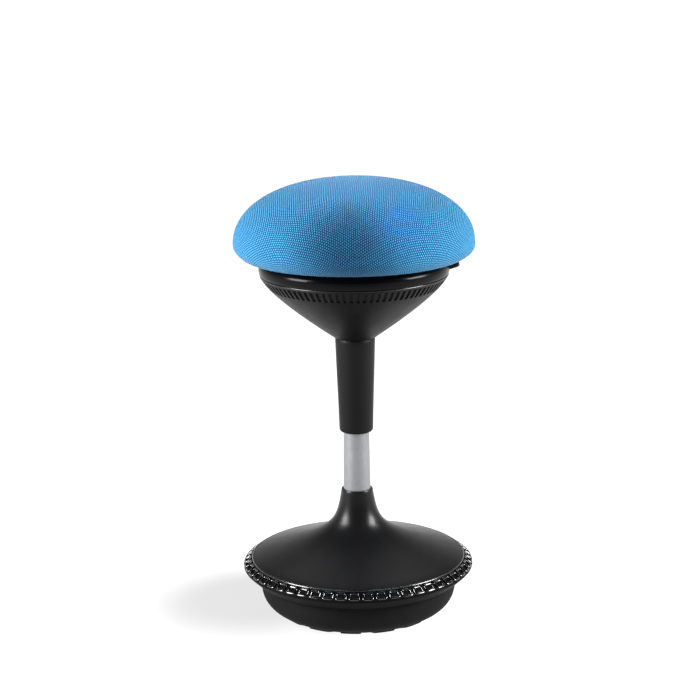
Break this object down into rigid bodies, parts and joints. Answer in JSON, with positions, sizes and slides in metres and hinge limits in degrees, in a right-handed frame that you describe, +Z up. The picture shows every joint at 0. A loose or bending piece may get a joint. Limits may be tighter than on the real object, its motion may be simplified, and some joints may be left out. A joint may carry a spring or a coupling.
{
  "type": "wobble stool",
  "caption": "Backless sit-stand wobble stool: round blue mesh cushion on a bowl-shaped housing, gas spring column, and a weighted dish base that rocks on a domed rubber tread.",
  "frame": {"origin": "centre of the flat crown of the tread, on the floor, which is the bottom centre of the bounding box", "axes": "+Z up along the column, -Y towards the side that the picture shows, +X towards the lever"},
  "size_m": [0.335, 0.335, 0.641],
  "materials": {
    "plastic_satin_black": "satin, finely grained",
    "plastic_gloss_black": "glossy",
    "rubber_black": "matt, moulded",
    "tube_silver": "satin silver coating",
    "steel_black": "black coating",
    "steel_bright": "ground",
    "steel_zinc": "zinc plated",
    "rod_chrome": "polished",
    "iron_grey": "rough casting",
    "nylon_white": "natural",
    "plywood": "unfinished",
    "foam_cream": "moulded polyurethane foam",
    "mesh_blue": "woven air mesh"
  },
  "bodies": {
    "base": {"tread_pad": "rubber_black", "base_bowl": "plastic_satin_black", "ballast_disc": "iron_grey", "column_socket": "steel_black", "socket_bolt_1": "steel_zinc", "socket_bolt_2": "steel_zinc", "socket_bolt_3": "steel_zinc", "socket_bolt_4": "steel_zinc", "column_tube": "tube_silver", "guide_bush": "nylon_white", "thrust_washer_lower": "steel_bright", "rim_bumper": "plastic_gloss_black", "base_cover": "plastic_satin_black", "cover_screw_1": "steel_zinc", "cover_screw_2": "steel_zinc", "cover_screw_3": "steel_zinc", "cover_screw_4": "steel_zinc", "cover_screw_5": "steel_zinc", "cover_screw_6": "steel_zinc"},
    "bearing": {"ball_cage": "steel_bright"},
    "rod": {"piston_rod": "rod_chrome", "piston": "nylon_white", "thrust_washer_upper": "steel_bright", "rubber_buffer": "rubber_black", "retaining_clip": "steel_black"},
    "seat": {"gas_cylinder": "steel_black", "rod_gland": "nylon_white", "sleeve": "plastic_satin_black", "bowl_housing": "plastic_satin_black", "trim_ring": "plastic_gloss_black", "ring_screw_1": "steel_zinc", "ring_screw_2": "steel_zinc", "ring_screw_3": "steel_zinc", "ring_screw_4": "steel_zinc", "seat_plate": "steel_black", "lever_bracket": "steel_black", "lever_pin": "steel_bright", "seat_bolt_1": "steel_zinc", "seat_bolt_2": "steel_zinc", "seat_bolt_3": "steel_zinc", "seat_bolt_4": "steel_zinc", "tee_nut_1": "steel_zinc", "tee_nut_2": "steel_zinc", "tee_nut_3": "steel_zinc", "tee_nut_4": "steel_zinc", "seat_board": "plywood", "foam_pad": "foam_cream", "seat_cover": "mesh_blue"},
    "valve": {"valve_pin": "steel_bright"},
    "lever": {"lever_arm": "steel_bright", "lever_paddle": "plastic_satin_black"}
  },
  "joints": [
    {"name": "seat_swivel", "type": "hinge", "parent": "base", "child": "rod", "pos_m": [0, 0, 0.0289], "axis": [0, 0, 1], "continuous": true},
    {"name": "bearing_roll", "type": "hinge", "parent": "base", "child": "bearing", "pos_m": [0, 0, 0.0251], "axis": [0, 0, 1], "continuous": true},
    {"name": "height_slide", "type": "slide", "parent": "rod", "child": "seat", "axis": [0, 0, 1], "range_m": [-0.062, 0.192]},
    {"name": "lever_pull", "type": "hinge", "parent": "seat", "child": "lever", "pos_m": [0.034, 0, 0.5115], "axis": [0, -1, 0], "range_deg": [0, 3.5], "stiffness_Nm_per_rad": 2, "springref_deg": -11.46},
    {"name": "valve_press", "type": "slide", "parent": "seat", "child": "valve", "axis": [0, 0, -1], "range_m": [0, 0.0022]}
  ],
  "couplings": [
    {"joint": "bearing_roll", "follows": "seat_swivel", "ratio": 0.5},
    {"joint": "valve_press", "follows": "lever_pull", "m_per_rad": 0.034}
  ]
}
